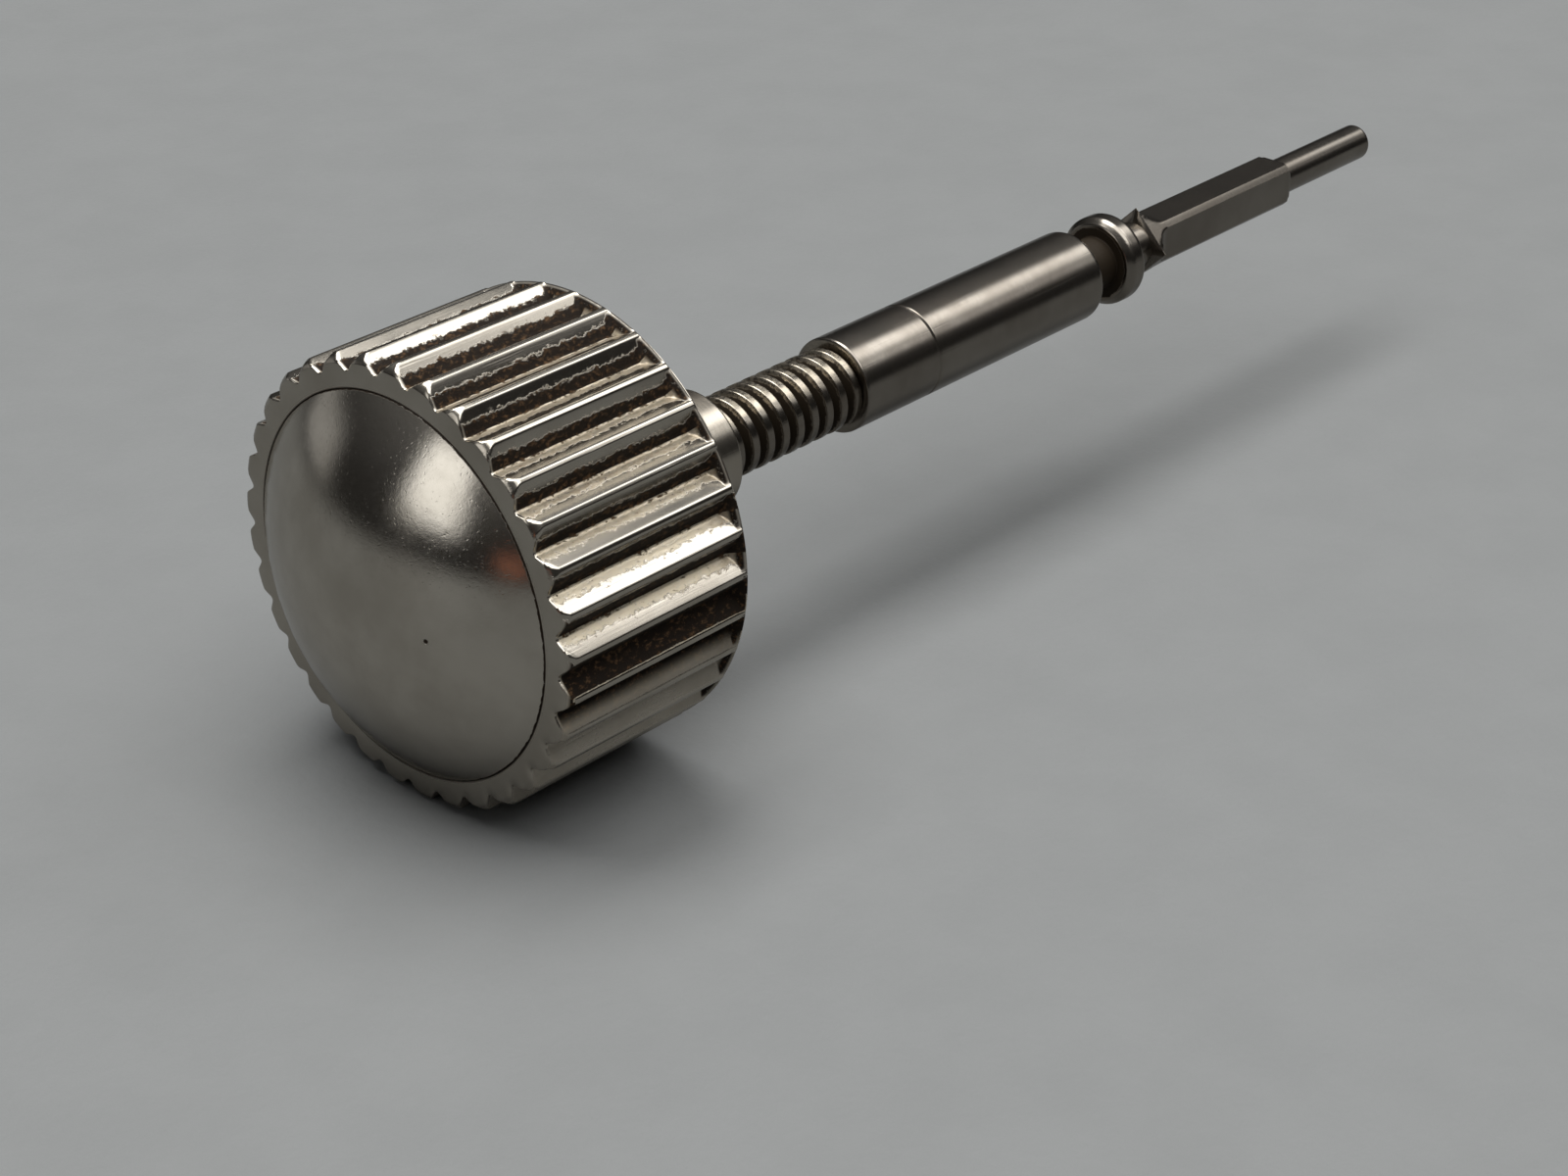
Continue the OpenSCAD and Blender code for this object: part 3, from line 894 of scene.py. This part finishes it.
@dataclass
class GripShell:
    """The fluted outer ring of the head."""

    head_r: float = 2.3
    head_len: float = 2.35
    seat_r: float = 1.97
    seat_chamfer: float = 0.01
    bore_r: float = 1.78
    dome_sink: float = 0.15
    bevel_width: float = 0.08
    bevel_len: float = 0.08
    bevel_bulge: float = 0.005
    bevel_fall: float = 0.010
    flute_count: int = 33
    flute_depth: float = 0.165
    crest_width: float = 0.05
    floor_width: float = 0.04
    flute_runout: float = 0.11
    plain_rim: float = 0.02
    flute_turn: float = -88.7
    floor_blend: float = 0.02
    crest_blend: float = 0.014
    # Places of the points from the middle of a ridge, round the rim
    ridge_places: tuple[float, ...] = (0, .009, .017, .023, .029, .037, .05, .08, .11, .14, .165, .182, .192,
                                       .2, .208)
    # Rows of the dome's seat, the front edge (with an inset) and the bevel, from the front face
    lip_start: float = 0.007
    lip: Rows = ((0.002, 0.002), (0.0, 0.008), (0.0, 0.03), (0.0, 0.075))
    front_edge: tuple[Point, ...] = ((0.0, -0.015, 0.014), (0.0025, -0.007, 0.006), (0.008, 0.002, 0.001))
    bevel_shares: tuple[float, ...] = (0.25, 0.5, 0.7, 0.84, 0.94)
    # Rows of the skin behind the bevel, closer where the flutes run out, and round the rear edge
    front_round: Rows = ((-2.264, 0.005), (-2.25, 0.0015))
    skin_rows: tuple[float, ...] = (-2.22, -2.1, -1.6, -1.0, -0.45, -0.3, -0.2, -0.16, -0.145, -0.135, -0.125,
                                    -0.112, -0.098, -0.084, -0.07, -0.056, -0.045, -0.037)
    rear_round: Rows = ((-0.032, 0.001), (-0.026, 0.005), (-0.019, 0.011), (-0.008, 0.022), (-0.003, 0.029),
                        (0.0, 0.036), (0.0, 0.05))
    # Rows round the mouth of the bore, with what is added to its radius
    bore_mouth: Rows = ((0.0, 0.03), (0.0, 0.012), (-0.004, 0.004), (-0.012, 0.0), (-0.03, 0.0))

    @property
    def pitch(self) -> float:
        """Give the angle from one flute to the next, in degrees."""
        return 360 / self.flute_count

    def groove_r(self, angle: float, x: float) -> float:
        """Give the radius of the flute's surface.

        Args:
            angle: angle from +Y towards +Z, in degrees.
            x: station.

        Returns:
            The radius that the flute leaves there.
        """
        off = abs((angle - self.flute_turn + self.pitch / 2) % self.pitch - self.pitch / 2)
        across = math.radians(off) * self.head_r
        half = (math.pi * 2 * self.head_r / self.flute_count - self.crest_width) / 2
        floor = self.head_r - self.flute_depth
        vee = floor + (across - self.floor_width / 2) / (half - self.floor_width / 2) * self.flute_depth
        ramp = floor + (x + self.plain_rim + self.flute_runout) * self.flute_depth / self.flute_runout
        return soft_max(soft_max(vee, floor, self.floor_blend), ramp, self.floor_blend)

    def rule(self, x: float, radius: float, inset: float = 0.0) -> RadiusAt:
        """Give the rule for a row of the skin, which keeps an inset inside the flute's edge."""
        return lambda angle: soft_min(radius, self.groove_r(angle, x) - inset, self.crest_blend)

    def first_row(self, x: float) -> list[Point]:
        """Give the points of one flute's share of the seat, from floor to floor over a ridge.

        Args:
            x: station of the row.

        Returns:
            The points, in order.
        """
        half = [math.degrees(place / self.head_r) for place in self.ridge_places] + [self.pitch / 2]
        ridge = self.flute_turn + self.pitch / 2
        turns = [math.radians(ridge + a) for a in [-a for a in reversed(half)] + half[1:]]
        return [(x, self.seat_r * math.cos(turn), self.seat_r * math.sin(turn)) for turn in turns]

    def build(self) -> bpy.types.Object:
        """Model one flute's share of the ring, copy it round and join the copies.

        Returns:
            The finished ring.
        """
        front = -self.head_len
        seat = front + self.dome_sink
        edge = self.head_r - self.bevel_width
        work = Turning.line("grip_ring", self.first_row(front + self.lip_start))
        work.follow([(front + x, self.seat_r + r) for x, r in self.lip])
        for x, radius, inset in self.front_edge:
            work.draw(front + x, self.rule(front + x, edge + radius, inset))
        for share in self.bevel_shares:
            radius = (edge + self.bevel_width * share + self.bevel_bulge * math.sin(math.pi * share)
                      - self.bevel_fall * share ** 3)
            x = front + self.bevel_len * share
            work.draw(x, self.rule(x, radius))
        for x, lack in (*self.front_round, *((x, 0.0) for x in self.skin_rows), *self.rear_round):
            work.draw(x, self.rule(x, self.head_r - lack))
        work.follow([(x, self.bore_r + more) for x, more in self.bore_mouth])
        work.follow([(seat, self.bore_r), (seat, self.seat_r - self.seat_chamfer),
                     (seat - self.seat_chamfer, self.seat_r)])
        bpy.ops.mesh.select_all(action="SELECT")
        bpy.ops.mesh.spin(steps=self.flute_count - 1, dupli=True, angle=math.radians(360 - self.pitch),
                          center=(0, 0, 0), axis=(1, 0, 0))
        work.weld()
        work.bridge()
        return work.done()


@dataclass
class DomeCap:
    """The polished dome with its hollow spigot."""

    rim_r: float = 1.962
    apex_x: float = -3.08
    front_x: float = -2.35
    seat_x: float = -2.2
    spigot_x: float = -1.9
    spigot_r: float = 1.307
    hollow_r: float = 1.162
    hollow_x: float = -2.63
    pocket_r: float = 0.5
    roof_x: float = -2.77
    rings: int = 30
    sides: int = 144
    # Rows round the rim, from the front, with what the radius lacks, and the share that the dome's arc keeps
    rim_round: Rows = ((0.03, 0.0), (0.012, 0.0), (0.005, 0.001), (-0.002, 0.005), (-0.0085, 0.0125))
    arc_share: float = 0.985

    def build(self) -> bpy.types.Object:
        """Turn the cap from the roof of its pocket round to the top of the dome.

        Returns:
            The finished cap.
        """
        height = self.front_x - self.apex_x
        sphere_r = (self.rim_r ** 2 + height ** 2) / (2 * height)
        centre = self.apex_x + sphere_r
        arc = math.asin(self.rim_r / sphere_r) * self.arc_share
        rim = [(self.front_x + x, self.rim_r - lack, 0) for x, lack in self.rim_round]
        work = Turning.ring("dome_cap_polished", self.roof_x, self.pocket_r, self.sides)
        work.follow(eased([(self.roof_x, self.pocket_r, 0), (self.hollow_x, self.pocket_r, 0.01),
                           (self.hollow_x, self.hollow_r, 0.03), (self.spigot_x, self.hollow_r, 0.015),
                           (self.spigot_x, self.spigot_r, 0.02), (self.seat_x, self.spigot_r, 0.01),
                           (self.seat_x, self.rim_r, 0.015), *rim[:1]])[1:])
        work.follow([place[:2] for place in rim[1:]])
        for step in range(1, self.rings):
            angle = arc * (1 - step / self.rings)
            work.draw(centre - sphere_r * math.cos(angle), sphere_r * math.sin(angle))
        work.point(self.apex_x)
        work.fill()
        return work.done()


@dataclass
class ClutchPipe:
    """The sliding pipe with its hexagonal flange and tapped end; its front end is closed flat."""

    flange_x: float = -1.8
    chamber_x: float = -1.45
    hex_flats: float = 1.9
    hex_chamfer: float = 0.02
    hex_corner: float = 0.012
    face_r: float = 0.5
    face_rows: tuple[float, ...] = (0.6, 0.85)
    back_r: float = 0.86
    journal_r: float = 0.81
    journal_end: float = -0.02
    pipe_r: float = 0.65
    reach: float = 1.7
    chamfer: float = 0.04
    tap_r: float = 0.455
    tap_x: float = 0.1
    tap_chamfer: float = 0.02

    def hexagon(self, shrink: float = 0.0) -> RadiusAt:
        """Give the rule for a hexagonal row with two corners on the Z axis.

        Args:
            shrink: how much less than its full size the row is.

        Returns:
            The radius at each angle.
        """
        flats = self.hex_flats / 2 - shrink
        corner = flats / math.cos(math.radians(30)) - self.hex_corner
        return lambda angle: min(corner, flats / math.cos(math.radians(angle % 60 - 30)))

    def build(self) -> bpy.types.Object:
        """Turn the outside, press the flange to its hexagon and bore the tapped end.

        Returns:
            The finished pipe.
        """
        work = Turning.ring("clutch_pipe_turned", self.flange_x, self.face_r)
        work.follow([(self.flange_x, radius) for radius in self.face_rows])
        for x, shrink in ((self.flange_x, self.hex_chamfer), (self.flange_x + self.hex_chamfer, 0.0),
                          (self.chamber_x - self.hex_chamfer, 0.0), (self.chamber_x, self.hex_chamfer)):
            work.draw(x, self.hexagon(shrink))
        work.follow(eased([(self.chamber_x, self.back_r, 0), (self.chamber_x, self.journal_r, 0),
                           (self.journal_end, self.journal_r, 0.02), (self.journal_end, self.pipe_r, 0),
                           (self.reach - self.chamfer, self.pipe_r, 0.012),
                           (self.reach, self.pipe_r - self.chamfer, 0.012),
                           (self.reach, self.tap_r + self.tap_chamfer, 0.006),
                           (self.reach - self.tap_chamfer, self.tap_r, 0.006), (self.tap_x, self.tap_r, 0)]))
        work.point(self.tap_x)
        work.fill()
        return work.done()


@dataclass
class WindingStem:
    """The stem: rod, thread, bearing with its turned line, lever groove, collar, square and pivot."""

    rod_x: float = 0.25
    rod_face_r: float = 0.2
    thread_x: float = 1.6
    thread_r: float = 0.45
    thread_depth: float = 0.12
    pitch: float = 0.225
    turns: int = 14
    thread_lead: float = 0.4
    thread_sides: int = 48
    buried_front: float = 0.03
    buried_rear: float = 0.04
    bearing_x: float = 3.73
    bearing_face_r: float = 0.25
    bearing_r: float = 0.53
    line_x: float = 4.89
    line_width: float = 0.04
    line_depth: float = 0.02
    groove_x: float = 7.83
    groove_r: float = 0.31
    collar_x: float = 8.3
    collar_r: float = 0.525
    neck_x: float = 8.62
    neck_r: float = 0.28
    square_x: float = 9.04
    flat_r: float = 0.26
    corner_r: float = 0.325
    corner_blend: float = 0.006
    cutter_r: float = 0.3
    square_chamfer: float = 0.06
    square_lead: float = 0.03
    pivot_face_r: float = 0.24
    pivot_x: float = 11.85
    pivot_r: float = 0.22
    tip_x: float = 13.68
    tip_chamfer: float = 0.05
    tip_face_r: float = 0.1
    chamfer: float = 0.07
    # One turn of the thread, with a flat crest, as stations and heights over its floor
    profile: Rows = ((0.0, 0.0), (0.012, 0.003), (0.064, 0.110), (0.069, 0.117), (0.075, 0.12), (0.081, 0.12),
                     (0.144, 0.12), (0.150, 0.12), (0.156, 0.117), (0.161, 0.110), (0.213, 0.003))
    # Rows at the square's two ends, from its start and from the pivot, with what the radius lacks
    square_start: Rows = ((0.0, 0.004), (0.004, 0), (0.06, 0), (0.1, 0), (0.115, 0), (0.13, 0), (0.15, 0),
                          (0.17, 0), (0.2, 0), (0.24, 0), (0.28, 0), (0.3, 0), (0.33, 0))
    square_end: Rows = ((-0.12, 0), (-0.055, 0), (-0.035, 0), (-0.008, 0.001), (-0.002, 0.003), (0.0, 0.007))

    def square(self, x: float, shrink: float) -> RadiusAt:
        """Give the rule for a row of the square at a station.

        Args:
            x: the row's station.
            shrink: how much less than its full size the row is.

        Returns:
            The radius at each angle.
        """
        into = min(max(x - self.square_x, 0.0), self.cutter_r)
        rise = self.cutter_r - math.sqrt(self.cutter_r ** 2 - (self.cutter_r - into) ** 2)
        flat = self.flat_r + rise
        end = self.corner_r / math.cos(math.radians(22.5)) - self.square_chamfer + self.pivot_x - x
        return lambda angle: min(soft_min(flat / math.cos(math.radians((angle + 45) % 90 - 45)),
                                          self.corner_r / math.cos(math.radians(angle % 90 - 45)),
                                          self.corner_blend), end) - shrink

    def rod(self) -> bpy.types.Object:
        """Turn the plain rod that is screwed into the pipe.

        Returns:
            The closed rod.
        """
        work = Turning.ring("stem_rod", self.rod_x, self.rod_face_r)
        work.follow(eased([(self.rod_x, self.rod_face_r, 0), (self.rod_x, self.thread_r - self.chamfer, 0.01),
                           (self.rod_x + self.chamfer, self.thread_r, 0.01),
                           (self.thread_x, self.thread_r - 0.001, 0),
                           (self.thread_x, self.rod_face_r, 0)])[1:])
        work.fill()
        return work.done()

    def thread(self) -> bpy.types.Object:
        """Draw the thread's profile, screw it one turn round and cut its ends flat.

        Returns:
            The closed thread.
        """
        start, minor = self.thread_x - self.thread_lead, self.thread_r - self.thread_depth
        work = Turning.line("stem_thread", [(start + turn * self.pitch + x, minor + height, 0)
                                            for turn in range(self.turns) for x, height in self.profile])
        bpy.ops.object.mode_set(mode="OBJECT")
        screw = work.piece.modifiers.new("thread", "SCREW")
        screw.axis, screw.angle, screw.screw_offset = "X", 2 * math.pi, self.pitch
        screw.steps = screw.render_steps = self.thread_sides
        screw.use_merge_vertices, screw.merge_threshold = True, SAME_POINT
        bpy.ops.object.modifier_apply(modifier=screw.name)
        bpy.ops.object.mode_set(mode="EDIT")
        work.weld()
        for x, inner in ((self.thread_x - self.buried_front, True),
                         (self.bearing_x + self.buried_rear, False)):
            bpy.ops.mesh.select_all(action="SELECT")
            bpy.ops.mesh.bisect(plane_co=(x, 0, 0), plane_no=(1, 0, 0), use_fill=True, clear_inner=inner,
                                clear_outer=not inner)
        return work.done()

    def shaft(self) -> bpy.types.Object:
        """Turn everything behind the thread and mill the square.

        Returns:
            The closed shaft.
        """
        work = Turning.ring("winding_stem_turned", self.bearing_x, self.bearing_face_r)
        bearing, collar, chamfer = self.bearing_r, self.collar_r, self.chamfer
        work.follow(eased([
            (self.bearing_x, self.bearing_face_r, 0), (self.bearing_x, bearing, 0.03),
            (self.line_x, bearing, 0.006), (self.line_x + self.line_width / 2, bearing - self.line_depth, 0),
            (self.line_x + self.line_width, bearing, 0.006),
            (self.groove_x - chamfer, bearing, 0.03), (self.groove_x, bearing - chamfer, 0.015),
            (self.groove_x, self.groove_r, 0.015), (self.collar_x, self.groove_r, 0.015),
            (self.collar_x, collar - chamfer, 0.015), (self.collar_x + chamfer, collar, 0.03),
            (self.neck_x - chamfer, collar, 0.03), (self.neck_x, collar - chamfer, 0.015),
            (self.neck_x, self.neck_r, 0.015), (self.square_x - self.square_lead, self.neck_r, 0)])[1:])
        rows = ([(self.square_x + x, lack) for x, lack in self.square_start]
                + [(self.pivot_x + x, lack) for x, lack in self.square_end])
        for x, lack in rows:
            work.draw(x, self.square(x, lack))
        work.follow(eased([(self.pivot_x, self.pivot_face_r, 0), (self.pivot_x, self.pivot_r, 0),
                           (self.tip_x - self.tip_chamfer, self.pivot_r, 0.02),
                           (self.tip_x, self.pivot_r - self.tip_chamfer, 0.02),
                           (self.tip_x, self.tip_face_r, 0)])[1:])
        work.point(self.tip_x)
        work.fill()
        return work.done()

    def build(self) -> bpy.types.Object:
        """Join the rod, the thread and the shaft into one stem.

        Returns:
            The finished stem.
        """
        shaft, rod, thread = self.shaft(), self.rod(), self.thread()
        unite(shaft, [thread, rod])
        return shaft


class Head:
    """The head: grip, dome, core and what they hold."""

    GRIP = GripFinish("fluted plate", (0.54, 0.50, 0.43), (0.46, 0.42, 0.355), 0.19, along=1.2, around=40.0,
                      line_depth=0.0008, seed=2.0)
    DOME = DomeFinish("polished dome plate", (0.64, 0.597, 0.52), (0.52, 0.48, 0.41), 0.15, spread=0.12,
                      along=20.0, around=20.0, line_depth=0.0009, seed=5.0)
    CORE = Finish("dull core plate", (0.50, 0.45, 0.37), (0.36, 0.31, 0.25), 0.32, spread=0.1, along=50.0,
                  around=0.7, line_depth=0.0008)
    WASHER = Finish("stamped washer steel", (0.50, 0.49, 0.47), (0.4, 0.39, 0.37), 0.34, spread=0.1,
                    along=12.0, around=12.0)
    WIRE = Finish("drawn spring wire", (0.44, 0.43, 0.42), (0.3, 0.29, 0.28), 0.25, along=20.0, around=20.0)

    def build(self, effects: Effects) -> None:
        """Model the visible pieces and dress the ones that stay as they are.

        Args:
            effects: the shared node groups.
        """
        hand_over(GripShell().build(), self.GRIP.build(effects), Body.HEAD, "grip_shell", 30)
        hand_over(DomeCap().build(), self.DOME.build(effects), Body.HEAD, "dome_cap")
        washer, rubber = self.WASHER.build(effects), Rubber().build()
        for node, material, slot in (("threaded_core", self.CORE.build(effects), Slot.CORE),
                                     ("thrust_washer", washer, Slot.WASHER),
                                     ("gland_washer", washer, Slot.WASHER),
                                     ("clutch_spring", self.WIRE.build(effects), Slot.SPRING),
                                     ("pipe_seal", rubber, Slot.RUBBER),
                                     ("tube_gasket", rubber, Slot.RUBBER)):
            keep_node(node, material)


class Drive:
    """What slides in the head: the clutch pipe and the stem."""

    PIPE = Finish("turned pipe steel", (0.46, 0.42, 0.355), (0.36, 0.32, 0.265), 0.24, along=40.0, around=0.6,
                  line_depth=0.001, seed=4.0)
    STEM = StemFinish("bright stem steel", (0.28, 0.255, 0.22), (0.22, 0.195, 0.165), 0.22, along=30.0,
                      around=13.0, line_depth=0.0004, seed=6.0)

    def build(self, effects: Effects) -> None:
        """Model and dress the pipe and the stem."""
        hand_over(ClutchPipe().build(), self.PIPE.build(effects), Body.PIPE, "clutch_pipe")
        hand_over(WindingStem().build(), self.STEM.build(effects), Body.PIPE, "winding_stem")


# Floor, light and camera


@dataclass(frozen=True)
class Card:
    """A soft bright or coloured patch of the surroundings, with its angles in degrees."""

    azimuth: float
    elevation: float
    half_width: float
    half_height: float
    soft: float
    strength: float
    colour: Colour = (1.0, 1.0, 1.0)


@dataclass(frozen=True)
class Panel:
    """A rectangular light in the ceiling, with its edges given one unit above the crown."""

    east: tuple[float, float]
    north: tuple[float, float]
    soft: float
    strength: float


class Studio:
    """The plain floor, the soft light and the camera."""

    PANELS = (Panel((-0.5, 0.62), (0.08, 0.55), 0.08, 7.6),
              Panel((-0.5, 0.62), (-1.1, 0.08), 0.15, 2.8))
    CARDS = (Card(-16, 45.5, 16, 7, 8, 4.3),
             Card(-37, 33, 5, 5, 6, 2.3),
             Card(171, 26, 12, 14, 6, 1.3),
             Card(108, 5, 13, 8, 6, 0.3),
             Card(-155, 5, 6, 3, 3, 0.3, (1.0, 0.38, 0.22)))
    PANEL_HORIZON: Ramp = (0.05, 0.15)
    ROOM_HORIZON: Ramp = (0.1, 0.95)
    ROOM_LOW: Colour = (0.02, 0.0195, 0.019)
    ROOM_HIGH: Colour = (0.15, 0.15, 0.15)
    BACKDROP: Colour = (0.305, 0.327, 0.314)
    BLACK: Colour = (0.0, 0.0, 0.0)
    FLAT_RAY = 0.02

    DESK: Colour = (0.173, 0.178, 0.176)
    DESK_PALE: Colour = (0.181, 0.186, 0.184)
    # Near black, mixed into the desk for glossy rays only: painted shade in reflections
    DESK_SHADED_IN_REFLECTIONS: Colour = (0.01, 0.01, 0.01)
    DESK_MOTTLE: Ramp = (0.3, 0.7)
    DESK_REFLECTION_SHADE: Ramp = (20.0, 80.0, 0.5, 0.9)
    DESK_RADIUS = 3.0
    DESK_GRAIN = 0.000008

    # The camera was fitted to the rims of the head, the seam and the stem
    LENS, SENSOR = 73.19, 36.0
    CLIP_START, CLIP_END = 0.001, 20.0
    EYE: Point = (-0.019267, -0.020385, 0.014271)
    TURN = ((0.67547, 0.35226, -0.64781), (-0.73739, 0.32269, -0.59341), (0.0, 0.87851, 0.47773))

    def floor(self, level: float) -> None:
        """Lay the desk at the object's lowest point.

        Args:
            level: its height in metres.
        """
        clear_selection()
        bpy.ops.mesh.primitive_circle_add(vertices=96, radius=self.DESK_RADIUS, fill_type="NGON",
                                          location=(0, 0, level))
        floor = bpy.context.object
        floor.name = "studio_floor"
        bpy.ops.object.transform_apply(location=True, rotation=True, scale=True)
        material, graph = new_material("grey desk")
        place = graph.place()[0]
        mottle = graph.step(graph.noise(place, 0.8, detail=6.0, rough=0.6), *self.DESK_MOTTLE)
        away = graph.add("VectorMath", {0: place}, operation="LENGTH").outputs["Value"]
        glossy = graph.add("LightPath").outputs["Is Glossy Ray"]
        # Painted shade in reflections: glossy rays see the desk about half as bright near the crown and
        # nearly black beyond 80 mm.
        shaded_in_reflections = graph.times(graph.step(away, *self.DESK_REFLECTION_SHADE), glossy)
        colour = graph.blend(shaded_in_reflections, graph.blend(mottle, self.DESK, self.DESK_PALE), self.DESK_SHADED_IN_REFLECTIONS)
        graph.shade(graph.noise(place, 9.0), self.DESK_GRAIN,
                    {"Base Color": colour, "Roughness": 0.62, "Specular IOR Level": 0.25})
        floor.data.materials.append(material)

    @staticmethod
    def card_group() -> bpy.types.NodeTree:
        """Build the group that gives one soft patch of sky.

        Returns:
            The group's node tree.
        """
        graph, given, out = new_group("Soft card", {
            "Azimuth": 0.0, "Elevation": 30.0, "Width": 10.0, "Height": 10.0, "Soft": 5.0, "East": 1.0,
            "North": 0.0, "Up": 0.0}, ("Mask",))
        azimuth = graph.times(graph.math("ARCTAN2", given["North"], given["East"]), DEGREES)
        elevation = graph.times(graph.math("ARCSINE", given["Up"]), DEGREES)
        turn = graph.plus(graph.minus(azimuth, given["Azimuth"]), 180.0)
        turn = graph.minus(graph.math("FLOORED_MODULO", turn, 360.0), 180.0)
        masks = []
        climb = graph.minus(elevation, given["Elevation"])
        for off, size in ((turn, given["Width"]), (climb, given["Height"])):
            masks.append(graph.step(graph.math("ABSOLUTE", off), graph.plus(size, given["Soft"]),
                                    graph.minus(size, given["Soft"])))
        graph.put(out["Mask"], graph.times(*masks))
        return graph.tree

    def sky(self) -> None:
        """Light the scene with a soft sky of panels and cards over a dim room."""
        world = bpy.data.worlds.new("soft studio")
        bpy.context.scene.world = world
        world.use_nodes = True
        graph = Graph(world.node_tree)
        card_group = self.card_group()
        ray = graph.add("VectorMath", {0: graph.add("TexCoord").outputs["Generated"]}, operation="NORMALIZE")
        east, north, up = graph.add("SeparateXYZ", {0: ray.outputs[0]}).outputs
        light = graph.blend(graph.step(up, *self.ROOM_HORIZON), self.ROOM_LOW, self.ROOM_HIGH)
        rise = graph.most(up, self.FLAT_RAY)
        for panel in self.PANELS:
            mask = graph.step(up, *self.PANEL_HORIZON)
            for side, (start, end) in ((east, panel.east), (north, panel.north)):
                along = graph.over(side, rise)
                mask = graph.times(mask, graph.step(along, start - panel.soft, start + panel.soft),
                                   graph.step(along, end + panel.soft, end - panel.soft))
            light = graph.blend(1.0, light, graph.blend(mask, self.BLACK, (panel.strength,) * 3), "ADD")
        for card in self.CARDS:
            mask = graph.group(card_group, Azimuth=card.azimuth, Elevation=card.elevation, Soft=card.soft,
                               Width=card.half_width, Height=card.half_height, East=east, North=north,
                               Up=up)["Mask"]
            glow = graph.blend(mask, self.BLACK, tuple(c * card.strength for c in card.colour))
            light = graph.blend(1.0, light, glow, "ADD")
        seen = graph.blend(graph.add("LightPath").outputs["Is Camera Ray"], light, self.BACKDROP)
        shader = graph.add("Background", {"Color": seen, "Strength": 1.0})
        graph.add("OutputWorld", {"Surface": shader.outputs[0]})

    def camera(self) -> None:
        """Set the camera at the photograph's place and angle."""
        data = bpy.data.cameras.new("view")
        data.sensor_width, data.lens = self.SENSOR, self.LENS
        data.clip_start, data.clip_end = self.CLIP_START, self.CLIP_END
        camera = bpy.data.objects.new("view", data)
        bpy.context.scene.collection.objects.link(camera)
        camera.matrix_world = Matrix.Translation(self.EYE) @ Matrix(self.TURN).to_4x4()
        bpy.context.scene.camera = camera


def main() -> None:
    """Build the crown in order, then the studio, with the floor at the lowest point of the imported model."""
    logging.basicConfig(level=logging.INFO, format="%(message)s")
    bpy.context.scene.view_settings.view_transform = "Standard"
    effects = Effects()
    Head().build(effects)
    Drive().build(effects)
    studio = Studio()
    studio.floor(BOX_BEFORE[0][2])
    studio.sky()
    studio.camera()


if __name__ == "__main__":
    main()
